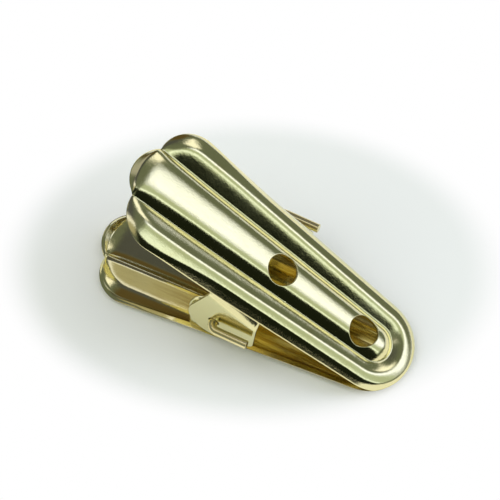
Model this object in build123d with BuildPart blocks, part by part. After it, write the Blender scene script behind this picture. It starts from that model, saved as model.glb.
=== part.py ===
from build123d import *
from math import acos, asin, atan2, cos, degrees, hypot, pi, radians, sin, sqrt, tan
import os

# Two-hole ribbed bulldog clip, lying on its lower lever: +X points to the jaws, +Y lies along the hinge wire
# and +Z is up. Sizes are in millimetres and degrees, and distances along a lever start at its nose tip.

# Stamped levers
clip_length = 38.1
sheet = 0.45
rib_height = 1.3
nose_radius = 5.3
thumb_half_width = 7.4
side_rib_length = 36.5
thumb_corner_radius = 4.0
thumb_lip_radius = 4.0
flank_draft = 25
shoulder_radius = 1.6

# Creases that part the middle rib from the side ribs
crease_depth = 0.35
crease_slope = 32
crease_nose_radius = 2.35
crease_nose_gap = 2.45
crease_thumb_half_width = 3.13

# Jaws at rest
lever_angle = 28.4
jaw_flat = 2.43
jaw_gap = 0.14

# Rivet holes in the upper lever
rivet_hole_diameter = 3.5
rivet_hole_front = 7.2
rivet_hole_pitch = 11.25

# Hinge wire
pivot_from_nose = 20.8
pivot_height = 4.1
wire_diameter = 1.0
wire_clearance = 0.05
wire_bend_radius = 0.8
near_leg_stand_off = 0.85
far_leg_stand_off = 1.8
near_leg_length = 4.5
far_leg_length = 4.9

# Ears
lower_ear_inset = 0.18
ear_gap = 0.12
upper_ear_round = 3.1
upper_ear_front = 4.0
upper_ear_rise = 15
upper_ear_lean = 7
lower_ear_round = 3.3
ear_root = 0.3
joggle_height = 0.6

# Torsion spring
spring_wire = 0.7
spring_pitch = 1.2
spring_turns = 5
spring_clearance = 0.3
spring_seat_gap = 0.12
upper_leg_angle = 38
lower_leg_angle = 24

# Places along a lever, from the line where the two raw-edge planes cross
nose_tip_x = jaw_flat
thumb_tip_x = nose_tip_x - clip_length
nose_centre_x = nose_tip_x - nose_radius
corner_x = nose_tip_x - side_rib_length + thumb_corner_radius
corner_y = thumb_half_width - thumb_corner_radius
lip_x = thumb_tip_x + thumb_lip_radius
crease_nose_x = nose_tip_x - crease_nose_gap - crease_nose_radius
front_hole_x = nose_tip_x - rivet_hole_front
rear_hole_x = front_hole_x - rivet_hole_pitch
flank_run = nose_centre_x - corner_x
widening = asin((thumb_corner_radius - nose_radius) / hypot(flank_run, corner_y))
taper = degrees(atan2(corner_y, flank_run) + widening)

# The crossing line is put so that the lower lever lies centred over the origin
cross_x = clip_length / 2 - nose_tip_x
turn = radians(lever_angle)
lower_frame = Plane(origin=(cross_x, 0, rib_height), x_dir=(1, 0, 0), z_dir=(0, 0, -1))
upper_frame = Plane(
    origin=(cross_x, 0, rib_height),
    x_dir=(cos(turn), 0, -sin(turn)),
    z_dir=(sin(turn), 0, cos(turn)),
)


def rib_plug(inset, start):
    """Solid of the lever's outline with drafted flanks, round shoulders and a round lip at the thumb end."""
    height = rib_height - inset - start
    shrink = inset / cos(radians(flank_draft)) + start * tan(radians(flank_draft))
    with BuildPart() as lip:
        with BuildSketch(Plane.XY.offset(start)):
            with Locations((lip_x, 0)):
                Circle(thumb_lip_radius - shrink)
        extrude(amount=height, taper=flank_draft)
        fillet(lip.faces().sort_by(Axis.Z)[-1].edges(), shoulder_radius - inset)
    with BuildPart() as plug:
        with BuildSketch(Plane.XY.offset(start)):
            with BuildLine():
                nose = CenterArc((nose_centre_x, 0), nose_radius - shrink, taper - 90, 180 - 2 * taper)
                left = CenterArc((corner_x, corner_y), thumb_corner_radius - shrink, 90 - taper, 90 + taper)
                right = CenterArc((corner_x, -corner_y), thumb_corner_radius - shrink, 180, 90 + taper)
                Line(nose @ 1, left @ 0)
                Line(left @ 1, right @ 0)
                Line(right @ 1, nose @ 0)
            make_face()
        extrude(amount=height, taper=flank_draft)
        fillet(plug.faces().sort_by(Axis.Z)[-1].edges(), shoulder_radius - inset)
        add(lip.part)
    return plug.part


def crease_cutter(drop):
    """Long V bar, round the nose and open at the thumb end, whose edge lies drop below the crease."""
    reach = crease_nose_x - thumb_tip_x + thumb_lip_radius
    spread = crease_thumb_half_width + (crease_thumb_half_width - crease_nose_radius) * thumb_lip_radius / reach
    splay = acos(crease_nose_radius / hypot(spread, reach)) - atan2(reach, spread)
    start_x = crease_nose_x - reach
    touch_x = crease_nose_x + crease_nose_radius * sin(splay)
    touch_y = crease_nose_radius * cos(splay)
    edge = rib_height - crease_depth - drop
    opening = crease_depth + sheet
    half = opening / tan(radians(crease_slope))
    with BuildPart() as cutter:
        with BuildLine(Plane.XY.offset(edge)) as path:
            Line((start_x, -spread), (touch_x, -touch_y))
            ThreePointArc((touch_x, -touch_y), (crease_nose_x + crease_nose_radius, 0), (touch_x, touch_y))
            Line((touch_x, touch_y), (start_x, spread))
        section = Plane(origin=path.line @ 0, x_dir=Vector(0, 0, 1).cross(path.line % 0), z_dir=path.line % 0)
        with BuildSketch(section):
            with BuildLine():
                Polyline((0, 0), (half, opening), (-half, opening), close=True)
            make_face()
        sweep(path=path.line)
    return cutter.part


def cross_section(frame, x):
    """Plane across a lever at x, with its own X to the side and its own Y outwards."""
    return Plane(origin=frame.from_local_coords((x, 0, 0)), x_dir=frame.y_dir, z_dir=frame.x_dir)


def side_plane(frame, y):
    """Plane along a lever at the side distance y, with its own X to the nose and its own Y outwards."""
    return Plane(origin=frame.from_local_coords((0, y, 0)), x_dir=frame.x_dir, z_dir=-frame.y_dir)


def half_width(x):
    """Half the width of the lever's outline on its straight tapered flanks."""
    return (nose_radius + (nose_centre_x - x) * sin(radians(taper))) / cos(radians(taper))


def helix_point(angle):
    """Point of the spring's centre line at a turn angle in radians, counted from +X to +Z."""
    side = spring_pitch * (coil_middle - angle) / (2 * pi)
    return pivot + Vector(spring_radius * cos(angle), side, spring_radius * sin(angle))


def helix_direction(angle):
    """Unit direction of the spring's centre line at the same angle."""
    return Vector(-spring_radius * sin(angle), -spring_pitch / (2 * pi), spring_radius * cos(angle)).normalized()


def biarc(first_angle, last_angle):
    """Two tangent arcs that follow the helix between two angles."""
    start, end = helix_point(first_angle), helix_point(last_angle)
    leave, arrive = helix_direction(first_angle), helix_direction(last_angle)
    chord = end - start
    slack = 2 * (1 - leave.dot(arrive))
    along = chord.dot(leave + arrive)
    reach = (sqrt(along ** 2 + slack * chord.dot(chord)) - along) / slack
    first_control = start + leave * reach
    last_control = end - arrive * reach
    middle = (first_control + last_control) * 0.5
    TangentArc(start, middle, tangent=leave)
    TangentArc(middle, end, tangent=last_control - first_control)


pivot = Vector(cross_x + nose_tip_x - pivot_from_nose, 0, rib_height + pivot_height)
upper_pivot = upper_frame.to_local_coords(pivot)
lower_pivot = lower_frame.to_local_coords(pivot)
lower_ear_face = half_width(lower_pivot.X) - lower_ear_inset
upper_ear_face = lower_ear_face + ear_gap + sheet
wire_radius = wire_diameter / 2
ear_hole_radius = wire_radius + wire_clearance
os.makedirs("parts", exist_ok=True)

# Ribbed sheet shell of one lever in its own frame, open on its inner side and flat where the jaws meet
skin = rib_plug(0, 0)
skin_creases = crease_cutter(0)
hollow = rib_plug(sheet, -rib_height)
hollow_creases = crease_cutter(sheet / cos(radians(crease_slope)))
bite = turn / 2
bite_plane = Plane(
    origin=(-sin(bite) * jaw_gap / 2, 0, cos(bite) * jaw_gap / 2),
    x_dir=(cos(bite), 0, sin(bite)),
    z_dir=(-sin(bite), 0, cos(bite)),
)
with BuildPart() as core:
    add(hollow)
    add(hollow_creases, mode=Mode.SUBTRACT)
with BuildPart() as shell:
    add(skin)
    add(skin_creases, mode=Mode.SUBTRACT)
    add(core.part, mode=Mode.SUBTRACT)
    split(bisect_by=bite_plane, keep=Keep.TOP)

# Upper lever: its ears step out past the lower lever's ears and end just above that lever's raw edge
ear_turn = turn + radians(upper_ear_rise)
ear_bottom = upper_pivot + Vector(sin(ear_turn), 0, -cos(ear_turn)) * upper_ear_round
ear_corner = ear_bottom + Vector(cos(ear_turn), 0, sin(ear_turn)) * upper_ear_front
ear_back_x = upper_pivot.X - upper_ear_round
ear_front_x = ear_corner.X + ear_corner.Z * tan(turn - radians(upper_ear_lean))
wall = half_width(upper_pivot.X)
lean_in = tan(radians(flank_draft)) * joggle_height

with BuildPart() as upper_lever:
    with Locations(upper_frame):
        add(shell.part)
    for side in (-1, 1):
        with BuildSketch(side_plane(upper_frame, side * (upper_ear_face - sheet / 2))):
            with BuildLine():
                Line((ear_back_x, 0), (ear_back_x, upper_pivot.Z))
                CenterArc((upper_pivot.X, upper_pivot.Z), upper_ear_round, 180, 90 + lever_angle + upper_ear_rise)
                Line((ear_bottom.X, ear_bottom.Z), (ear_corner.X, ear_corner.Z))
                Line((ear_corner.X, ear_corner.Z), (ear_front_x, 0))
                Line((ear_front_x, 0), (ear_back_x, 0))
            make_face()
        extrude(amount=sheet / 2, both=True)
        with BuildSketch(cross_section(upper_frame, ear_back_x)):
            with BuildLine():
                Polyline(
                    (side * upper_ear_face, 0),
                    (side * (upper_ear_face - sheet), 0),
                    (side * (wall - sheet - lean_in / 2), joggle_height / 2),
                    (side * (wall - sheet / 2 - lean_in), joggle_height),
                    close=True,
                )
            make_face()
        extrude(amount=ear_front_x - ear_back_x)
    with BuildSketch(side_plane(upper_frame, 0)):
        with Locations((upper_pivot.X, upper_pivot.Z)):
            Circle(ear_hole_radius)
    extrude(amount=2 * upper_ear_face, both=True, mode=Mode.SUBTRACT)
    with BuildSketch(upper_frame):
        with Locations((front_hole_x, 0), (rear_hole_x, 0)):
            Circle(rivet_hole_diameter / 2)
    extrude(amount=2 * rib_height, mode=Mode.SUBTRACT)
upper_lever.part.label = "upper_lever"
export_step(upper_lever.part, "parts/upper_lever.step")

# Lower lever: its ears rise straight from the side walls, just inside the upper lever's ears
with BuildPart() as lower_lever:
    with Locations(lower_frame):
        add(shell.part)
    for side in (-1, 1):
        with BuildSketch(side_plane(lower_frame, side * (lower_ear_face - sheet / 2))):
            with Locations((lower_pivot.X, lower_pivot.Z)):
                Circle(lower_ear_round)
                Rectangle(2 * lower_ear_round, ear_root - lower_pivot.Z, align=(Align.CENTER, Align.MIN))
        extrude(amount=sheet / 2, both=True)
    with BuildSketch(side_plane(lower_frame, 0)):
        with Locations((lower_pivot.X, lower_pivot.Z)):
            Circle(ear_hole_radius)
    extrude(amount=2 * upper_ear_face, both=True, mode=Mode.SUBTRACT)
lower_lever.part.label = "lower_lever"
export_step(lower_lever.part, "parts/lower_lever.step")

# Hinge wire: straight through the ears, with both ends bent towards the jaws
near_leg_y = -upper_ear_face - near_leg_stand_off
far_leg_y = upper_ear_face + far_leg_stand_off
with BuildPart() as hinge_wire:
    with BuildLine() as wire_path:
        FilletPolyline(
            pivot + Vector(near_leg_length, near_leg_y, 0),
            pivot + Vector(0, near_leg_y, 0),
            pivot + Vector(0, far_leg_y, 0),
            pivot + Vector(far_leg_length, far_leg_y, 0),
            radius=wire_bend_radius,
        )
    with BuildSketch(Plane(origin=wire_path.line @ 0, z_dir=wire_path.line % 0)):
        Circle(wire_radius)
    sweep(path=wire_path.line)
hinge_wire.part.label = "hinge_wire"
export_step(hinge_wire.part, "parts/hinge_wire.step")

# Torsion spring: wound round the hinge wire, with one leg under each lever's thumb half
spring_radius = wire_radius + spring_clearance + spring_wire / 2
first_angle = radians(lower_leg_angle - 90)
last_angle = radians(90 - lever_angle - upper_leg_angle + 360 * spring_turns)
coil_middle = (first_angle + last_angle) / 2
seat = rib_height - sheet - spring_seat_gap - spring_wire / 2
lower_rise = lower_frame.to_local_coords(helix_point(first_angle)).Z
lower_leg = (seat - lower_rise) / helix_direction(first_angle).Z
upper_rise = upper_frame.to_local_coords(helix_point(last_angle)).Z
upper_leg = (seat - upper_rise) / helix_direction(last_angle).dot(upper_frame.z_dir)
arc_count = round((last_angle - first_angle) / (pi / 2))
arc_step = (last_angle - first_angle) / arc_count
with BuildPart() as torsion_spring:
    with BuildLine() as spring_path:
        lower_coil_end = helix_point(first_angle)
        Line(lower_coil_end - helix_direction(first_angle) * lower_leg, lower_coil_end)
        for index in range(arc_count):
            biarc(first_angle + index * arc_step, first_angle + (index + 1) * arc_step)
        upper_coil_end = helix_point(last_angle)
        Line(upper_coil_end, upper_coil_end + helix_direction(last_angle) * upper_leg)
    with BuildSketch(Plane(origin=spring_path.line @ 0, z_dir=spring_path.line % 0)):
        Circle(spring_wire / 2)
    sweep(path=spring_path.line)
torsion_spring.part.label = "torsion_spring"
export_step(torsion_spring.part, "parts/torsion_spring.step")

# Least gap of the spring to itself, between points at least half a turn of wire apart
spring_line = spring_path.wire()
points_per_turn = 60
point_count = points_per_turn * spring_turns
points = [spring_line @ (index / point_count) for index in range(point_count + 1)]
half_turn = round(point_count * pi * spring_radius / spring_line.length)
spans = [
    (points[low] - points[high]).length
    for low in range(len(points))
    for high in range(low + half_turn, len(points))
]
print("torsion_spring least gap to itself", round(min(spans) - spring_wire, 3))
print("torsion_spring volume", round(torsion_spring.part.volume, 3))
print("section times length", round(pi * spring_wire ** 2 / 4 * spring_line.length, 3))
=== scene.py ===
import math
import bpy
import bmesh
import numpy as np
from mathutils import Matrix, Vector


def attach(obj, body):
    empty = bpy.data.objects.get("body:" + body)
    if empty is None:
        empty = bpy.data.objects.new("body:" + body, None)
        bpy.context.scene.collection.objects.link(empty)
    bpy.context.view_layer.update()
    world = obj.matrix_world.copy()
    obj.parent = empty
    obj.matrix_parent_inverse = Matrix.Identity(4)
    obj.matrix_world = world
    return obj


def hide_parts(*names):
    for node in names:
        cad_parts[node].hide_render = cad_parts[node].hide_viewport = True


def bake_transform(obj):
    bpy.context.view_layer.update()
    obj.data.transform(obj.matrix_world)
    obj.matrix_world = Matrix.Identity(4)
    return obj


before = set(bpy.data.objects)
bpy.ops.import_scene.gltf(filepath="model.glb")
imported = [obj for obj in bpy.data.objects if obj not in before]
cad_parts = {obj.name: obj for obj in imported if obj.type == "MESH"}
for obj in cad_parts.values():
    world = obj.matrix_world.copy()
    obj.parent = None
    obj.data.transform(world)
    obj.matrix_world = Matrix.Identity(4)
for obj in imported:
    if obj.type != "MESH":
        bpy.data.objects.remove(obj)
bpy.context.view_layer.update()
scene = bpy.context.scene
mm = 0.001
nearZero = 1e-9
print("frame loaded", sorted(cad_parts))


# Shader maths: a socket that takes part in Python expressions
class Tone:
    def __init__(self, tree, socket):
        self.tree = tree
        self.socket = socket

    def add(self, kind, settings=None, out=0, **inputs):  # any node; i0, i1 and so on are inputs by number
        node = self.tree.nodes.new(kind)
        for name, value in (settings or {}).items():
            setattr(node, name, value)
        for name, value in inputs.items():
            numbered = name[0] == "i" and name[1:].isdigit()
            plug(self.tree, node.inputs[int(name[1:]) if numbered else name.replace("_", " ")], value)
        return Tone(self.tree, node.outputs[out])

    def maths(self, operation, *values):
        return self.add("ShaderNodeMath", {"operation": operation}, **{f"i{n}": v for n, v in enumerate(values)})

    def __add__(self, other): return self.maths("ADD", self, other)
    def __radd__(self, other): return self.maths("ADD", other, self)
    def __sub__(self, other): return self.maths("SUBTRACT", self, other)
    def __rsub__(self, other): return self.maths("SUBTRACT", other, self)
    def __mul__(self, other): return self.maths("MULTIPLY", self, other)
    def __rmul__(self, other): return self.maths("MULTIPLY", other, self)
    def __truediv__(self, other): return self.maths("DIVIDE", self, other)
    def __rtruediv__(self, other): return self.maths("DIVIDE", other, self)
    def __pow__(self, other): return self.maths("POWER", self, other)
    def most(self, other): return self.maths("MAXIMUM", self, other)

    def step(self, low, high):  # smooth ramp from 0 at low to 1 at high
        return self.add("ShaderNodeMapRange", {"interpolation_type": "SMOOTHSTEP"}, Value=self,
                        From_Min=low, From_Max=high, To_Min=0.0, To_Max=1.0)

    def tint(self, first, second):  # colour mix by this value
        return self.add("ShaderNodeMix", {"data_type": "RGBA"}, out=2, i0=self, i6=first, i7=second)

    def parts(self):
        node = self.tree.nodes.new("ShaderNodeSeparateXYZ")
        plug(self.tree, node.inputs[0], self)
        return [Tone(self.tree, o) for o in node.outputs]


def plug(tree, socket, value):
    if isinstance(value, Tone):
        tree.links.new(value.socket, socket)
    elif hasattr(value, "__len__") and len(value) == 3 and socket.type == "RGBA":
        socket.default_value = (*value, 1.0)
    else:
        socket.default_value = value


def blankTree(owner):
    owner.use_nodes = True
    owner.node_tree.nodes.clear()
    return Tone(owner.node_tree, None)


def finishTree(sheet, body, kind="ShaderNodeOutputMaterial"):
    end = sheet.tree.nodes.new(kind)
    sheet.tree.links.new(body.socket, end.inputs["Surface"])


# Plated finishes
plating = dict(
    cloud=(160.0, 4.0, 0.55), blotch=(620.0, 3.0, 0.6), speck=(5200.0, 2.0, 0.7),  # scale, detail, roughness
    peel=(1100.0, 2.0, 0.5), lines=(180.0, 3.0, 0.6), dent=(330.0, 2.0, 0.5),
    warmRamp=(0.52, 0.78), warmMost=0.35, paleRamp=(0.45, 0.75), paleMost=0.45,
    cloudRough=(0.35, 0.75), cloudShare=0.6, speckRough=(0.45, 0.7), speckShare=0.4,
    drawn=(1.0, 16.0, 16.0), lineRamp=(0.42, 0.62), dentRamp=(0.02, 0.10), bump=0.25, depth=0.00006,
)
leverPlate = dict(colour=(0.80, 0.745, 0.385), pale=(0.85, 0.815, 0.48), warm=(0.74, 0.64, 0.28),
                  rough=0.10, roughSpread=0.07, peel=0.55, grain=0.40, metal=1.0,
                  # inside is the hidden face's colour, darkened and browned as painted shade; streak is its drawn
                  # lines
                  inside=(0.72, 0.61, 0.21), streak=(0.52, 0.37, 0.08), insideRough=0.10, dent=4.0)
wirePlate = dict(colour=(0.80, 0.70, 0.34), pale=(0.86, 0.79, 0.47), warm=(0.70, 0.56, 0.22),
                 rough=0.13, roughSpread=0.10, peel=0.16, grain=0.10, metal=0.9)
springSteel = dict(colour=(0.40, 0.37, 0.30), pale=(0.55, 0.51, 0.42), warm=(0.27, 0.23, 0.17),
                   rough=0.26, roughSpread=0.14, peel=0.20, grain=0.22, metal=1.0)


def noise(sheet, place, kind):
    scale, detail, rough = plating[kind]
    return sheet.add("ShaderNodeTexNoise", Vector=place, Scale=scale, Detail=detail, Roughness=rough)


def platedMetal(name, look):
    made = bpy.data.materials.new(name)
    sheet = blankTree(made)
    place = sheet.add("ShaderNodeTexCoord", out=3)
    cloud, blotch, speck, peel = (noise(sheet, place, kind) for kind in ("cloud", "blotch", "speck", "peel"))
    warm = blotch.step(*plating["warmRamp"]) * plating["warmMost"]
    pale = cloud.step(*plating["paleRamp"]) * plating["paleMost"]
    colour = warm.tint(pale.tint(look["colour"], look["pale"]), look["warm"])
    uneven = cloud.step(*plating["cloudRough"]) * plating["cloudShare"]
    uneven = uneven + speck.step(*plating["speckRough"]) * plating["speckShare"]
    rough = look["rough"] + look["roughSpread"] * uneven
    skin = peel * look["peel"] + speck * look["grain"]
    if "inside" in look:  # the hidden face is drawn lengthwise and softly dented, and painted browner and darker as shade between the jaws
        dullAndShade = sheet.add("ShaderNodeAttribute", {"attribute_name": "inside"}, out=2)
        drawn = sheet.add("ShaderNodeVectorMath", {"operation": "MULTIPLY"}, i0=place, i1=plating["drawn"])
        lines = noise(sheet, drawn, "lines").step(*plating["lineRamp"])
        # painted shade: the hidden face's colour is darkened and browned, most in the throat
        colour = dullAndShade.tint(colour, lines.tint(look["inside"], look["streak"]))
        rough = rough + dullAndShade * look["insideRough"]
        skin = skin + dullAndShade * lines * look["grain"]
        skin = skin + dullAndShade.step(*plating["dentRamp"]) * noise(sheet, place, "dent") * look["dent"]
    bump = sheet.add("ShaderNodeBump", Strength=plating["bump"], Distance=plating["depth"], Height=skin)
    body = sheet.add("ShaderNodeBsdfPrincipled", Base_Color=colour, Metallic=look["metal"], Roughness=rough,
                     Normal=bump)
    finishTree(sheet, body)
    return made


leverMetal = platedMetal("lever_plate", leverPlate)
wireMetal = platedMetal("wire_plate", wirePlate)
springMetal = platedMetal("spring_steel", springSteel)
print("finishes made")


# Stamped lever: three round ribs parted by two creases, sizes in mm from the line where the raw-edge planes cross
lever = dict(
    noseX=-2.87, noseRadius=5.3, cornerX=-30.07, cornerY=3.4, cornerRadius=4.0, tailX=-34.07,  # raw edge
    rimLift=0.55, liftFrom=-20.0, liftRun=12.0, draft=41.0, edgeLip=0.04, edgeSteep=2.5,
    creaseNoseX=-2.9, creaseNoseRadius=2.2, creaseTailY=3.2, valley=0.03,  # creases
    creaseNose=0.47, creaseThumb=0.38, creaseFade=0.22, fadeFrom=-25.5, fadeRun=8.5,
    outerNose=0.55, outerThumb=0.74, outerSlope=0.345, innerSlope=0.505, crestBend=0.42, sideRun=22.0,  # side ribs
    shoulder=0.22, thumbShoulder=0.3, softFrom=-28.07, softRun=4.0, endReach=2.6, endDrop=0.25,
    ribHeight=1.3, archNose=2.3, archThumb=3.4, archReach=1.2, tipX=-35.67, lipReach=-30.6,  # middle rib
    domeReach=3.6, domeDrop=0.62, domeEdge=0.14, lipLift=0.15, notchLift=0.43,
    sheet=0.45, angle=28.4, jawGap=0.14, crossX=16.62,
    holes=(-4.77, -16.02), holeRadius=1.75, holeBlock=2.3, holeRoll=0.07, holeRings=14, holeEase=0.8, rollCuts=4,
    cornerCuts=36, flankCuts=110, noseCuts=40, ribRows=44, middleRows=72, rowEase=0.8,  # mesh
    creaseEase=1.5, creaseLag=0.25, halvings=40, weld=3e-7, sliver=2e-7, sharp=48.0,
    dullShadeLeast=0.12, dullShadeFrom=-28.0, dullShadeRun=8.0,  # hidden face: rougher, with painted shade, toward the throat
)
run = lever["noseX"] - lever["cornerX"]
taper = math.atan2(lever["cornerY"], run) + math.asin(
    (lever["cornerRadius"] - lever["noseRadius"]) / math.hypot(run, lever["cornerY"]))
reach = lever["creaseNoseX"] - lever["tailX"]
splay = math.acos(lever["creaseNoseRadius"] / math.hypot(lever["creaseTailY"], reach)) - math.atan2(
    reach, lever["creaseTailY"])
lipDepth = lever["tailX"] - lever["tipX"]
lipRadius = (lever["creaseTailY"] ** 2 + lipDepth ** 2) / 2 / lipDepth
biteSlope = math.tan(math.radians(lever["angle"] / 2))
biteLift = lever["jawGap"] / 2 / math.cos(math.radians(lever["angle"] / 2))


def roundLeast(a, b, bend):  # the lower of two heights, with a round shoulder where they meet
    share = np.clip(0.5 + 0.5 * (b - a) / bend, 0, 1)
    return b + (a - b) * share - bend * share * (1 - share)


def wallRise(d):  # flank up from the raw edge, which stands a little steeper
    lip = lever["edgeLip"] * (1 - np.exp(-np.maximum(d, 0) / lever["edgeLip"] * lever["edgeSteep"]))
    return d / math.tan(math.radians(lever["draft"])) + lip


def rimDistance(x, y):
    side = np.abs(y)
    flank = lever["noseRadius"] - (x - lever["noseX"]) * math.sin(taper) - side * math.cos(taper)
    inside = np.minimum(flank, x - lever["tailX"])
    dx, dy = x - lever["cornerX"], side - lever["cornerY"]
    atCorner = (dy > 0) & (dx * math.cos(taper) - dy * math.sin(taper) < 0)
    inside = np.where(atCorner, lever["cornerRadius"] - np.hypot(dx, dy), inside)
    nx = x - lever["noseX"]
    atNose = nx * math.cos(taper) - side * math.sin(taper) > 0
    return np.where(atNose, lever["noseRadius"] - np.hypot(nx, side), inside)


def creaseDistance(x, y):
    side, cx = np.abs(y), x - lever["creaseNoseX"]
    atNose = cx * math.cos(splay) - side * math.sin(splay) > 0
    straight = cx * math.sin(splay) + side * math.cos(splay)
    return np.where(atNose, np.hypot(cx, side), straight) - lever["creaseNoseRadius"]


def noseToThumb(x, nose, thumb):
    return nose + (thumb - nose) * np.clip((lever["creaseNoseX"] - x) / lever["sideRun"], 0, 1)


def shoulderAt(x):  # the thumb end is stamped softer
    return lever["shoulder"] + lever["thumbShoulder"] * np.clip((lever["softFrom"] - x) / lever["softRun"], 0, 1)


def rimAt(x):  # the raw edge lifts toward the thumb end
    t = np.clip((lever["liftFrom"] - x) / lever["liftRun"], 0, 1)
    return lever["rimLift"] * t * t * (3 - 2 * t)


def lipAt(y):  # the middle rib ends at the thumb in a round lip
    return lever["tipX"] + lipRadius - np.sqrt(np.maximum(lipRadius ** 2 - np.minimum(y, lipRadius) ** 2, 0))


def valleyFill(gap, slope):  # the bottom of a crease is round
    return lever["valley"] * np.clip(1 - gap * slope / (2 * lever["valley"]), 0, 1) ** 2


def sideHeight(x, edge, gap):  # rises straight from the crease, bends over the crest and falls to the raw edge
    fade = np.clip((lever["fadeFrom"] - x) / lever["fadeRun"], 0, 1)  # the creases run out at the notches
    foot = noseToThumb(x, lever["creaseNose"], lever["creaseThumb"]) + lever["creaseFade"] * fade ** 2
    inner = foot + lever["innerSlope"] * gap
    outer = noseToThumb(x, lever["outerNose"], lever["outerThumb"]) + lever["outerSlope"] * edge
    crest = (inner + outer - np.hypot(inner - outer, lever["crestBend"])) / 2
    ending = np.clip(1 - (x - lever["tailX"]) / lever["endReach"], 0, 1)
    crest = crest - lever["endDrop"] * ending ** 2 * np.clip(gap, 0, 1)
    rib = roundLeast(rimAt(x) + wallRise(edge), crest, shoulderAt(x))
    return rib + valleyFill(gap, lever["innerSlope"])


def sideRib(x, y):
    return sideHeight(x, rimDistance(x, y), np.maximum(creaseDistance(x, y), 0))


def middleRib(x, y):  # an arch between the creases, domed down to the thumb lip
    side, cx = np.abs(y), x - lever["creaseNoseX"]
    edge = (lever["creaseNoseRadius"] - cx * math.sin(splay)) / math.cos(splay)
    span = np.where(cx > 0, lever["creaseNoseRadius"], edge)
    across = np.where(cx > 0, np.hypot(cx, side), side) / span
    turn = np.where(cx > 0, np.arctan2(side, cx), math.pi / 2)
    footX = np.where(cx > 0, lever["creaseNoseX"] + span * np.cos(turn), x)
    width = np.maximum(rimDistance(footX, span * np.sin(turn)), 0)
    foot = sideHeight(footX, width, np.zeros_like(width)) - lever["valley"]
    power = noseToThumb(x, lever["archNose"], lever["archThumb"])
    arch = lever["ribHeight"] - (lever["ribHeight"] - foot) * np.clip(across, 0, lever["archReach"]) ** power
    arch = arch + valleyFill((1 - across) * span, (lever["ribHeight"] - foot) * power / span)
    lip = lipAt(side)
    outward = np.clip(1 - (x - lip) / lever["domeReach"], 0, 1)
    wall = wallRise(x - lip) + lever["lipLift"] + lever["notchLift"] * (side / lever["creaseTailY"]) ** 2
    crown = lever["shoulder"] / 4  # what the round shoulder takes off the crest
    arch = arch + crown * (1 - np.clip(across, 0, 1) ** 2)
    top = roundLeast(lever["ribHeight"] + crown - lever["domeDrop"] * outward ** 2, arch, lever["shoulder"])
    return roundLeast(wall, top, lever["domeEdge"])


def slopeNormal(rib, x, y, eps=0.004):
    dx = (rib(x + eps, y) - rib(x - eps, y)) / (2 * eps)
    dy = (rib(x, y + eps) - rib(x, y - eps)) / (2 * eps)
    n = np.stack([-dx, -dy, np.ones_like(dx)], -1)
    return n / np.linalg.norm(n, axis=-1, keepdims=True)


def biteHeight(x):  # the raw-edge plane, cut away where the two jaws meet
    return np.maximum(0.0, x * biteSlope + biteLift)


def dullAndShadeAt(x):  # the hidden face is polished at the thumb end, and dull with painted shade in the throat between the jaws
    return lever["dullShadeLeast"] + (1 - lever["dullShadeLeast"]) * np.clip((x - lever["dullShadeFrom"]) / lever["dullShadeRun"], 0, 1)


def evenSteps(count):
    return np.linspace(0, 1, count + 1)


def arcPoints(x, y, radius, turn):
    return np.stack([x + radius * np.cos(turn), y + radius * np.sin(turn)], -1)


def ribColumns():  # matching points on the raw edge and on the crease, from one thumb notch to the nose tip
    corner = evenSteps(lever["cornerCuts"])
    along = evenSteps(lever["flankCuts"])[1:, None]
    tip = 1 - evenSteps(lever["noseCuts"])[1:]
    notch = np.array([lever["tailX"], lever["creaseTailY"]])
    rimCorner = arcPoints(lever["cornerX"], lever["cornerY"], lever["cornerRadius"],
                          math.pi - corner * (math.pi / 2 + taper))
    rimCorner[0] = notch
    flankEnd = arcPoints(lever["noseX"], 0.0, lever["noseRadius"], math.pi / 2 - taper)
    rimFlank = rimCorner[-1] + (flankEnd - rimCorner[-1]) * along
    rimNose = arcPoints(lever["noseX"], 0.0, lever["noseRadius"], (math.pi / 2 - taper) * tip)
    creaseEnd = arcPoints(lever["creaseNoseX"], 0.0, lever["creaseNoseRadius"], math.pi / 2 - splay)
    first = (rimCorner[-1][0] - lever["creaseLag"] - notch[0]) / (creaseEnd[0] - notch[0])
    creaseCorner = notch + (creaseEnd - notch) * first * (corner ** lever["creaseEase"])[:, None]
    creaseFlank = notch + (creaseEnd - notch) * (first + (1 - first) * along)
    creaseTip = arcPoints(lever["creaseNoseX"], 0.0, lever["creaseNoseRadius"], (math.pi / 2 - splay) * tip)
    return np.concatenate([rimCorner, rimFlank, rimNose]), np.concatenate([creaseCorner, creaseFlank, creaseTip])


def trimInside(line):  # an inner polyline starts on the raw-edge plane
    above = line[:, 2] >= biteHeight(line[:, 0]) - nearZero
    hit = int(np.argmax(above))
    if not above.any():
        line[:, 2] = biteHeight(line[:, 0])
        return line
    if hit == 0:
        return line
    low, high = line[hit - 1], line[hit]
    a, b = low[2] - biteHeight(low[0]), high[2] - biteHeight(high[0])
    start = low + (high - low) * (a / (a - b))
    line[:hit] = start + (high - start) * (np.arange(hit) / hit)[:, None]
    return line


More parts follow.
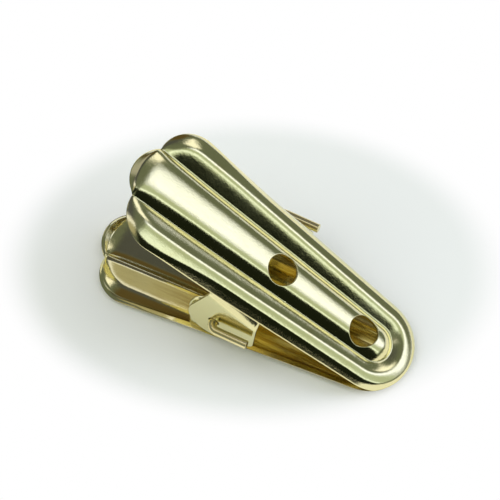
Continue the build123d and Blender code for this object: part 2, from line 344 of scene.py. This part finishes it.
class Sheet:  # vertices and faces of one piece
    def __init__(self):
        self.points, self.faces, self.inside = [], [], []

    def put(self, grid, inside=0.0):
        flat = np.asarray(grid, float).reshape(-1, 3)
        base = sum(len(p) for p in self.points)
        self.points.append(flat)
        # mask of the hidden face for its roughness and its painted shade
        self.inside.append(np.full(len(flat), inside) * dullAndShadeAt(flat[:, 0]))
        return base + np.arange(len(flat)).reshape(np.asarray(grid).shape[:-1])

    def quads(self, ids, flip=False, skip=None):
        for i in range(ids.shape[0] - 1):
            for j in range(ids.shape[1] - 1):
                if skip is not None and skip[i, j]:
                    continue
                face = [ids[i, j], ids[i + 1, j], ids[i + 1, j + 1], ids[i, j + 1]]
                self.faces.append(face[::-1] if flip else face)

    def build(self, name, place, metal):
        co = np.concatenate(self.points) @ place[0].T + place[1]
        mesh = bpy.data.meshes.new(name)
        mesh.from_pydata((co * mm).tolist(), [], [[int(v) for v in f] for f in self.faces])
        mesh.attributes.new("inside", "FLOAT", "POINT").data.foreach_set("value", np.concatenate(self.inside))
        shape = bmesh.new()
        shape.from_mesh(mesh)
        bmesh.ops.remove_doubles(shape, verts=shape.verts, dist=lever["weld"])
        bmesh.ops.dissolve_degenerate(shape, edges=shape.edges, dist=lever["sliver"])
        bmesh.ops.recalc_face_normals(shape, faces=shape.faces)
        for face in shape.faces:
            face.smooth = True
        shape.to_mesh(mesh)
        shape.free()
        mesh.set_sharp_from_angle(angle=math.radians(lever["sharp"]))
        mesh.materials.append(metal)
        made = bpy.data.objects.new(name, mesh)
        scene.collection.objects.link(made)
        return made


def edgeCut(rim, crease):  # how far along each column it meets the raw-edge plane
    low, high = np.zeros(len(rim)), np.ones(len(rim))
    for _ in range(lever["halvings"]):
        mid = (low + high) / 2
        p = rim + (crease - rim) * mid[:, None]
        under = sideRib(p[:, 0], p[:, 1]) < biteHeight(p[:, 0])
        low, high = np.where(under, mid, low), np.where(under, high, mid)
    return np.where(biteHeight(rim[:, 0]) > nearZero, high, 0.0)


def middlePlan(spine):  # rows across the middle rib, curved along the lip at the thumb end
    across = -np.cos(np.pi * evenSteps(lever["middleRows"]))
    even = np.linspace(-1, 1, lever["middleRows"] + 1)
    across = lever["rowEase"] * across + (1 - lever["rowEase"]) * even
    lip = lipAt(lever["creaseTailY"] * across)
    last = int(np.argmax(spine[:, 0] > lever["lipReach"]))
    share = np.clip((spine[:, 0] - spine[0, 0]) / (spine[last, 0] - spine[0, 0]), 0, 1)
    x = lip[None, :] + (spine[last, 0] - lip[None, :]) * share[:, None]
    x = np.where((np.arange(len(spine)) > last)[:, None], spine[:, 0][:, None], x)
    return x, -spine[:, 1][:, None] * across[None, :]


def ribbedShell(holes):
    rim, crease = ribColumns()
    count = len(rim)
    rim = np.concatenate([rim * (1, -1), rim[-2::-1]])
    crease = np.concatenate([crease * (1, -1), crease[-2::-1]])
    spine = crease[:count]
    cut = edgeCut(rim, crease)[:, None]
    rows = (1 - np.cos(np.pi * evenSteps(lever["ribRows"]))) / 2
    t = cut + (1 - cut) * rows[None, :]
    plan = rim[:, None, :] + (crease - rim)[:, None, :] * t[..., None]
    sideTop = np.concatenate([plan, sideRib(plan[..., 0], plan[..., 1])[..., None]], -1)
    sideNormal = slopeNormal(sideRib, plan[..., 0], plan[..., 1])
    x, y = middlePlan(spine)
    midTop = np.stack([x, y, middleRib(x, y)], -1)
    midNormal = slopeNormal(middleRib, x, y)
    # the two ribs share the crease, where the sheet's inner face is mitred
    midTop[:, 0], midTop[:, -1] = sideTop[:count, -1], sideTop[count - 1:, -1][::-1]
    for edge, normals in ((0, sideNormal[:count, -1]), (-1, sideNormal[count - 1:, -1][::-1])):
        joint = normals + midNormal[:, edge]
        joint /= np.linalg.norm(joint, axis=-1, keepdims=True)
        joint /= np.sum(joint * normals, -1, keepdims=True)
        midNormal[:, edge] = joint
    sideNormal[:count, -1], sideNormal[count - 1:, -1] = midNormal[:, 0], midNormal[::-1, -1]
    midIn = midTop - lever["sheet"] * midNormal
    for j in range(midIn.shape[1]):
        midIn[:, j] = trimInside(midIn[:, j])
    sideIn = sideTop - lever["sheet"] * sideNormal
    sideIn[:count, -1], sideIn[count - 1:, -1] = midIn[:, 0], midIn[::-1, -1]
    sideIn[0], sideIn[-1] = midIn[0, 0], midIn[0, -1]  # one point under each notch
    for k in range(len(sideIn)):
        sideIn[k] = trimInside(sideIn[k])
    sheet = Sheet()
    outerSide, innerSide = sheet.put(sideTop), sheet.put(sideIn, 1.0)
    outerMid, innerMid = sheet.put(midTop), sheet.put(midIn, 1.0)
    skip = np.zeros((count - 1, lever["middleRows"]), bool)
    for hole in holes:
        a = int(np.argmin(np.abs(spine[:, 0] - hole + lever["holeBlock"])))
        b = int(np.argmin(np.abs(spine[:, 0] - hole - lever["holeBlock"])))
        skip[a:b] = True
        punchHole(sheet, hole, outerMid[a:b + 1], innerMid[a:b + 1], midTop[a:b + 1], midIn[a:b + 1])
    sheet.quads(outerSide)
    sheet.quads(innerSide, flip=True)
    sheet.quads(outerMid, skip=skip)
    sheet.quads(innerMid, flip=True, skip=skip)
    sheet.quads(np.stack([innerSide[:, 0], outerSide[:, 0]], -1))
    sheet.quads(np.stack([outerMid[0], innerMid[0]], -1))
    return sheet


def loopOf(grid):
    return np.concatenate([grid[:-1, 0], grid[-1, :-1], grid[:0:-1, -1], grid[0, :0:-1]])


def onRib(p, drop=0.0):  # points on the middle rib's outer face, or below it
    return np.concatenate([p, (middleRib(p[:, 0], p[:, 1]) - drop)[:, None]], -1)


def underRib(p, lift=0.0):  # points on its hidden face, or above it
    return onRib(p, lever["sheet"] / slopeNormal(middleRib, p[:, 0], p[:, 1])[:, 2] - lift)


def punchHole(sheet, hole, outerIds, innerIds, outer, inner):
    rimOut, rimIn = loopOf(outer), loopOf(inner)
    turn = np.arctan2(rimOut[:, 1], rimOut[:, 0] - hole)
    radius, roll = lever["holeRadius"], lever["holeRoll"]
    circle = arcPoints(hole, 0.0, radius, turn)
    lifted = arcPoints(hole, 0.0, radius + roll, turn)
    ids, under = [loopOf(outerIds)], [loopOf(innerIds)]
    for share in evenSteps(lever["holeRings"])[1:] ** lever["holeEase"]:
        ids.append(sheet.put(onRib(rimOut[:, :2] + (lifted - rimOut[:, :2]) * share)))
        under.append(sheet.put(underRib(rimIn[:, :2] + (lifted - rimIn[:, :2]) * share), 1.0))
    for bend in math.pi / 2 * evenSteps(lever["rollCuts"])[1:]:  # rolled edge of the punched hole
        p = circle + (lifted - circle) * (1 - math.sin(bend))
        drop = roll * (1 - math.cos(bend))
        ids.append(sheet.put(onRib(p, drop)))
        under.append(sheet.put(underRib(p, drop), 1.0))
    ring = np.stack(ids + under[::-1], 0)
    sheet.quads(np.concatenate([ring, ring[:, :1]], 1), flip=True)


# Ears that carry the hinge wire, drawn in the lever's own x and height
upperEar = dict(face=6.9, pivot=(-18.109, -5.131), round=3.1, front=4.0, rise=43.4, lean=21.4, top=0.42, wrap=0.9,
                corner=0.7, inset=0.015, arcCuts=59, cornerCuts=13)
lowerEar = dict(face=6.33, pivot=(-18.37, -4.1), round=3.3, top=0.12, arcCuts=79)
earLook = dict(hole=0.62, roll=0.09, rings=16, steps=180, edgeCuts=6)


def upperEarOutline():
    px, pz = upperEar["pivot"]
    turn = math.radians(upperEar["rise"])
    bottom = (px + upperEar["round"] * math.sin(turn), pz - upperEar["round"] * math.cos(turn))
    corner = (bottom[0] + upperEar["front"] * math.cos(turn), bottom[1] + upperEar["front"] * math.sin(turn))
    frontTop = (corner[0] + (corner[1] - upperEar["top"]) * math.tan(math.radians(upperEar["lean"])), upperEar["top"])
    arc = arcPoints(px, pz, upperEar["round"], math.pi + (math.pi / 2 + turn) * evenSteps(upperEar["arcCuts"]))
    front = roundedCorner(bottom, corner, frontTop, upperEar["corner"], upperEar["cornerCuts"])
    return np.concatenate([arc, front, [frontTop, (px - upperEar["round"], upperEar["top"])]])


def lowerEarOutline():
    px, pz = lowerEar["pivot"]
    arc = arcPoints(px, pz, lowerEar["round"], math.pi + math.pi * evenSteps(lowerEar["arcCuts"]))
    return np.concatenate([arc, [(px + lowerEar["round"] * s, lowerEar["top"]) for s in (1, -1)]])


def roundedCorner(before, corner, after, radius, cuts):
    a, c, b = np.array(before), np.array(corner), np.array(after)
    u, v = (a - c) / np.linalg.norm(a - c), (b - c) / np.linalg.norm(b - c)
    opening = math.acos(float(u @ v))
    centre = c + (u + v) / np.linalg.norm(u + v) * radius / math.sin(opening / 2)
    p, q = c + u * radius / math.tan(opening / 2), c + v * radius / math.tan(opening / 2)
    start, end = math.atan2(*(p - centre)[::-1]), math.atan2(*(q - centre)[::-1])
    sweep = (end - start + math.pi) % (2 * math.pi) - math.pi
    return arcPoints(*centre, radius, start + sweep * evenSteps(cuts))


def evenly(outline, steps):
    loop = np.concatenate([outline, outline[:1]])
    length = np.concatenate([[0], np.cumsum(np.linalg.norm(np.diff(loop, axis=0), axis=1))])
    at = np.linspace(0, length[-1], steps, endpoint=False)
    return np.stack([np.interp(at, length, loop[:, n]) for n in range(2)], -1)


def addEar(sheet, ear, outline, side, bend):
    pivot, roll, thick = np.array(ear["pivot"]), earLook["roll"], lever["sheet"]
    out = evenly(outline, earLook["steps"]) - pivot
    hole = out / np.linalg.norm(out, axis=1, keepdims=True) * earLook["hole"]
    inward = 1 - roll / np.linalg.norm(out, axis=1, keepdims=True)
    holeRoll = roll / earLook["hole"]
    flat = np.linspace(0, 1, earLook["rings"])
    turns = math.pi * evenSteps(earLook["edgeCuts"])[1:-1]

    def ringAt(t):  # from the hole's edge at 0 to the plate's edge at 1
        return pivot + hole * (1 + holeRoll) * (1 - t) + out * inward * t

    steps = [(ringAt(t), 0.0) for t in flat]  # plan points and depth, once round the plate's section
    for a in turns:
        steps.append((pivot + out * inward + out * (1 - inward) * math.sin(a), thick / 2 * (1 - math.cos(a))))
    steps += [(ringAt(t), thick) for t in flat[::-1]]
    for a in turns:
        steps.append((pivot + hole * (1 + holeRoll * (1 - math.sin(a))), thick / 2 * (1 + math.cos(a))))
    rings = []
    for plan, depth in steps:
        face = bend(plan[:, 0], plan[:, 1]) - depth
        rings.append(np.stack([plan[:, 0], side * face, plan[:, 1]], -1))
    ids = sheet.put(np.stack(rings, 0))
    ids = np.concatenate([ids, ids[:1]], 0)
    sheet.quads(np.concatenate([ids, ids[:, :1]], 1), flip=side > 0)


def upperBend(x, z):  # the upper ears step out from the drafted flank
    flank = (lever["noseRadius"] - (x - lever["noseX"]) * math.sin(taper)) / math.cos(taper)
    lean = math.tan(math.radians(lever["draft"]))
    t = np.clip(1 + z / upperEar["wrap"], 0, 1)
    step = (2 * t ** 3 - 3 * t ** 2 + 1) * upperEar["face"] + (3 * t ** 2 - 2 * t ** 3) * flank
    step = step - (t ** 3 - t ** 2) * lean * upperEar["wrap"]
    return np.where(z > 0, flank - lean * z, step) - upperEar["inset"]


def lowerBend(x, z):  # the lower ears stand straight
    return np.full_like(x, lowerEar["face"])


cosDown, sinDown = math.cos(math.radians(lever["angle"])), math.sin(math.radians(lever["angle"]))
upperPlace = (np.array([[cosDown, 0, sinDown], [0, 1, 0], [-sinDown, 0, cosDown]]),
              np.array([lever["crossX"], 0, lever["ribHeight"]]))
lowerPlace = (np.array([[1, 0, 0], [0, -1, 0], [0, 0, -1]], float), upperPlace[1])

upperSheet = ribbedShell(lever["holes"])
for side in (-1, 1):
    addEar(upperSheet, upperEar, upperEarOutline(), side, upperBend)
upperLever = upperSheet.build("upperLever", upperPlace, leverMetal)
lowerSheet = ribbedShell(())
for side in (-1, 1):
    addEar(lowerSheet, lowerEar, lowerEarOutline(), side, lowerBend)
lowerLever = lowerSheet.build("lowerLever", lowerPlace, leverMetal)
print("levers stamped", len(upperLever.data.vertices), len(lowerLever.data.vertices))

# Hinge wire, straight through the ears with both ends bent to the jaws
hinge = dict(pivot=(-1.75, 0.0, 5.4), radius=0.5, bend=0.8, nearY=-7.75, farY=8.7, nearLeg=4.5, farLeg=4.9,
             sides=32, legCuts=13, bendCuts=19, spanCuts=29)
rodEnd = dict(round=0.12, cuts=4, caps=(0.3, 0.6), skew=(0.31, 0.17, 0.93))


def roundRod(name, line, radius, metal, sides):
    p = np.array(line, float)
    tangent = np.gradient(p, axis=0)
    tangent[0], tangent[-1] = p[1] - p[0], p[-1] - p[-2]
    tangent /= np.linalg.norm(tangent, axis=1, keepdims=True)
    normal = np.cross(tangent[0], rodEnd["skew"])
    frames = []
    for t in tangent:
        normal = normal - t * (normal @ t)
        normal = normal / np.linalg.norm(normal)
        frames.append((normal, np.cross(t, normal)))
    turn = np.linspace(0, 2 * math.pi, sides, endpoint=False)
    rings = []

    def ring(n, back, size):
        u, v = frames[n]
        c = p[n] + tangent[n] * back
        rings.append(c + radius * size * (np.cos(turn)[:, None] * u + np.sin(turn)[:, None] * v))

    bevel = [(rodEnd["round"] * radius * (1 - math.sin(a)), 1 - rodEnd["round"] * (1 - math.cos(a)))
             for a in math.pi / 2 * evenSteps(rodEnd["cuts"])]
    for size in rodEnd["caps"]:
        ring(0, 0.0, size)
    for back, size in bevel[::-1]:
        ring(0, back, size)
    for n in range(1, len(p) - 1):
        ring(n, 0.0, 1.0)
    for back, size in bevel:
        ring(-1, -back, size)
    for size in rodEnd["caps"][::-1]:
        ring(-1, 0.0, size)
    sheet = Sheet()
    ids = sheet.put(np.stack(rings, 0))
    sheet.quads(np.concatenate([ids, ids[:, :1]], 1))
    sheet.faces.append(list(ids[0][::-1]))
    sheet.faces.append(list(ids[-1]))
    return sheet.build(name, (np.eye(3), np.zeros(3)), metal)


def wireLine():
    px, _, pz = hinge["pivot"]
    bend, line = hinge["bend"], []
    leg, quarter = evenSteps(hinge["legCuts"]), math.pi / 2 * evenSteps(hinge["bendCuts"])
    for t in leg[:-1]:
        line.append((px + hinge["nearLeg"] + (bend - hinge["nearLeg"]) * t, hinge["nearY"], pz))
    for a in quarter:
        line.append((px + bend * (1 - math.sin(a)), hinge["nearY"] + bend * (1 - math.cos(a)), pz))
    for t in evenSteps(hinge["spanCuts"])[1:-1]:
        line.append((px, hinge["nearY"] + bend + (hinge["farY"] - hinge["nearY"] - 2 * bend) * t, pz))
    for a in quarter:
        line.append((px + bend * (1 - math.cos(a)), hinge["farY"] - bend * (1 - math.sin(a)), pz))
    for t in leg[1:]:
        line.append((px + bend + (hinge["farLeg"] - bend) * t, hinge["farY"], pz))
    return line


hingeWire = roundRod("hingeWire", wireLine(), hinge["radius"], wireMetal, hinge["sides"])
print("hinge wire bent")

# Torsion spring wound round the wire, one leg under each lever
spring = dict(wire=0.7, radius=1.15, pitch=1.2, first=-66.0, last=1823.6, seat=0.2, perTurn=72, legCuts=39, sides=24)


def springLine():
    pivot = np.array(hinge["pivot"])
    first, last = math.radians(spring["first"]), math.radians(spring["last"])
    middle = (first + last) / 2
    count = int((last - first) / (2 * math.pi) * spring["perTurn"])
    a = np.linspace(first, last, count)
    coil = pivot + np.stack([spring["radius"] * np.cos(a), spring["pitch"] * (middle - a) / (2 * math.pi),
                             spring["radius"] * np.sin(a)], -1)

    def heading(angle):
        d = np.array([-spring["radius"] * math.sin(angle), -spring["pitch"] / (2 * math.pi),
                      spring["radius"] * math.cos(angle)])
        return d / np.linalg.norm(d)

    origin = upperPlace[1]
    low, high = heading(first), heading(last)
    up = upperPlace[0][:, 2]
    down = np.array([0, 0, -1.0])
    lowLeg = (spring["seat"] - (coil[0] - origin) @ down) / (low @ down)
    highLeg = (spring["seat"] - (coil[-1] - origin) @ up) / (high @ up)
    legSteps = np.linspace(1, 0, spring["legCuts"] + 1)[:-1, None]
    lower = coil[0] + low * lowLeg * legSteps
    upper = coil[-1] + high * highLeg * legSteps[::-1]
    return np.concatenate([lower, coil, upper]), coil


path, coil = springLine()
torsionSpring = roundRod("torsionSpring", path, spring["wire"] / 2, springMetal, spring["sides"])
print("spring wound")

# What each piece stands for and moves with
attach(upperLever, "upper")
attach(lowerLever, "lower")
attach(hingeWire, "lower")
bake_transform(torsionSpring)
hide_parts("upper_lever")
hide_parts("lower_lever")
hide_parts("hinge_wire")
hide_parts("torsion_spring")

# Pale floor that fades to white in an oval round the clip
stage = dict(half=1.5, drop=0.00002, floor=(0.835, 0.857, 0.81), rough=0.9, centre=(-0.0025, 0.0039), turn=25.0,
             long=0.0276, short=0.0193, inner=0.84, outer=1.05)
floorMesh = bpy.data.meshes.new("floor")
half = stage["half"]
floorMesh.from_pydata([(-half, -half, 0), (half, -half, 0), (half, half, 0), (-half, half, 0)], [], [(0, 1, 2, 3)])
floor = bpy.data.objects.new("floor", floorMesh)
floor.location.z = -stage["drop"]
scene.collection.objects.link(floor)
paper = bpy.data.materials.new("floorPaper")
sheetTree = blankTree(paper)
floorX, floorY = sheetTree.add("ShaderNodeNewGeometry", out=0).parts()[:2]
rays = sheetTree.tree.nodes.new("ShaderNodeLightPath")
cameraRay, glossyRay, throughRay = (Tone(sheetTree.tree, rays.outputs[n])
                                    for n in ("Is Camera Ray", "Is Glossy Ray", "Is Transmission Ray"))
ox, oy = floorX - stage["centre"][0], floorY - stage["centre"][1]
lean = math.radians(stage["turn"])
along = (ox * math.cos(lean) + oy * math.sin(lean)) / stage["long"]
across = (oy * math.cos(lean) - ox * math.sin(lean)) / stage["short"]
fade = ((along ** 2.0 + across ** 2.0) ** 0.5).step(stage["inner"], stage["outer"])
matte = sheetTree.add("ShaderNodeBsdfPrincipled", Base_Color=stage["floor"], Roughness=stage["rough"])
glow = sheetTree.add("ShaderNodeEmission", Color=(1.0, 1.0, 1.0), Strength=1.0)
white = fade * cameraRay.most(glossyRay).most(throughRay)
finishTree(sheetTree, sheetTree.add("ShaderNodeMixShader", i0=white, i1=matte, i2=glow))
floorMesh.materials.append(paper)

# Studio seen in the plating: a dim room and the panels in it, later ones in front
room = (0.15, 0.174, 0.148)
panels = dict(  # where each axis of the direction fades a panel in (rise) and out (fall)
    overhead=dict(colour=(0.085, 0.09, 0.11), xFall=(-0.12, 0.10), zRise=(0.55, 0.80)),
    ceiling=dict(colour=(0.46, 0.43, 0.33), xFall=(0.0, 0.20), yFall=(-0.30, -0.10), zRise=(0.70, 0.85)),
    skylight=dict(colour=(1.05, 1.05, 1.25), xFall=(0.0, 0.20), yRise=(-0.32, -0.16), yFall=(-0.11, 0.05),
                  zRise=(0.70, 0.85)),
    shelf=dict(colour=(0.11, 0.08, 0.035), xFall=(-0.16, -0.04), yRise=(0.50, 0.70), zRise=(0.12, 0.28),
               zFall=(0.62, 0.78)),
    left=dict(colour=(0.45, 0.45, 0.50), xFall=(-0.52, -0.40), yRise=(0.05, 0.25), zRise=(0.30, 0.50)),
    dark=dict(colour=(0.010, 0.013, 0.008), xRise=(0.0, 0.30), yFall=(-0.34, -0.28)),
    screen=dict(colour=(0.52, 0.60, 0.54), xRise=(0.30, 0.45), yRise=(-0.33, -0.29), yFall=(0.23, 0.27),
                zRise=(0.15, 0.35)),
    strip=dict(colour=(1.15, 1.30, 1.5), xRise=(0.30, 0.45), yRise=(-0.30, -0.20), yFall=(-0.15, -0.05),
               zRise=(0.15, 0.35)),
    bright=dict(colour=(1.45, 1.55, 2.2), xRise=(0.30, 0.45), yRise=(0.16, 0.38), yFall=(0.41, 0.63),
                zRise=(0.15, 0.35)),
    window=dict(colour=(1.3, 1.3, 1.5), xRise=(0.04, 0.14), xFall=(0.31, 0.41), yRise=(0.50, 0.64),
                zRise=(0.42, 0.54)),
    low=dict(colour=(0.8, 0.85, 1.15), yRise=(0.3, 0.6), zRise=(-0.02, 0.02), zFall=(0.11, 0.15)),
)
world = bpy.data.worlds.new("studio")
scene.world = world
sky = blankTree(world)
axes = dict(zip("xyz", sky.add("ShaderNodeTexCoord", out=0).parts()))
tone = room
for panel in panels.values():
    share = 1.0
    for edge, limits in panel.items():
        if edge != "colour":
            ramp = axes[edge[0]].step(*limits)
            share = share * (ramp if edge.endswith("Rise") else 1 - ramp)
    tone = share.tint(tone, panel["colour"])
finishTree(sky, sky.add("ShaderNodeBackground", Color=tone, Strength=1.0), "ShaderNodeOutputWorld")

lamps = dict(
    keyLight=dict(place=(0.22, 0.16, 0.48), size=0.50, power=0.75),
    fillLight=dict(place=(-0.30, -0.35, 0.55), size=0.70, power=1.55),
    topLight=dict(place=(0.05, 0.05, 0.80), size=1.40, power=3.2),
)
for name, look in lamps.items():  # soft discs aimed at the origin, not seen in the plating
    light = bpy.data.lights.new(name, "AREA")
    light.shape = "DISK"
    light.size = look["size"]
    light.energy = look["power"]
    lamp = bpy.data.objects.new(name, light)
    lamp.location = look["place"]
    lamp.rotation_mode = "QUATERNION"
    lamp.rotation_quaternion = (-Vector(look["place"])).to_track_quat("-Z", "Y")
    lamp.visible_glossy = False
    scene.collection.objects.link(lamp)

# Camera at the photo's angle
view = dict(azimuth=27.356, elevation=61.061, distance=0.290, aim=(0, 0, 0.006), lens=192.2, sensor=36.0,
            shift=(-0.01419, 0.05212), clip=(0.01, 10.0))
camera = bpy.data.objects.new("camera", bpy.data.cameras.new("camera"))
scene.collection.objects.link(camera)
az, el = math.radians(view["azimuth"]), math.radians(view["elevation"])
back = Vector((math.sin(az) * math.cos(el), -math.cos(az) * math.cos(el), math.sin(el)))
camera.location = Vector(view["aim"]) + back * view["distance"]
camera.rotation_mode = "QUATERNION"
camera.rotation_quaternion = (-back).to_track_quat("-Z", "Y")
camera.data.lens = view["lens"]
camera.data.sensor_width = view["sensor"]
camera.data.shift_x, camera.data.shift_y = view["shift"]
camera.data.clip_start, camera.data.clip_end = view["clip"]
scene.camera = camera
scene.view_settings.view_transform = "Standard"
print("stage, light and camera set")
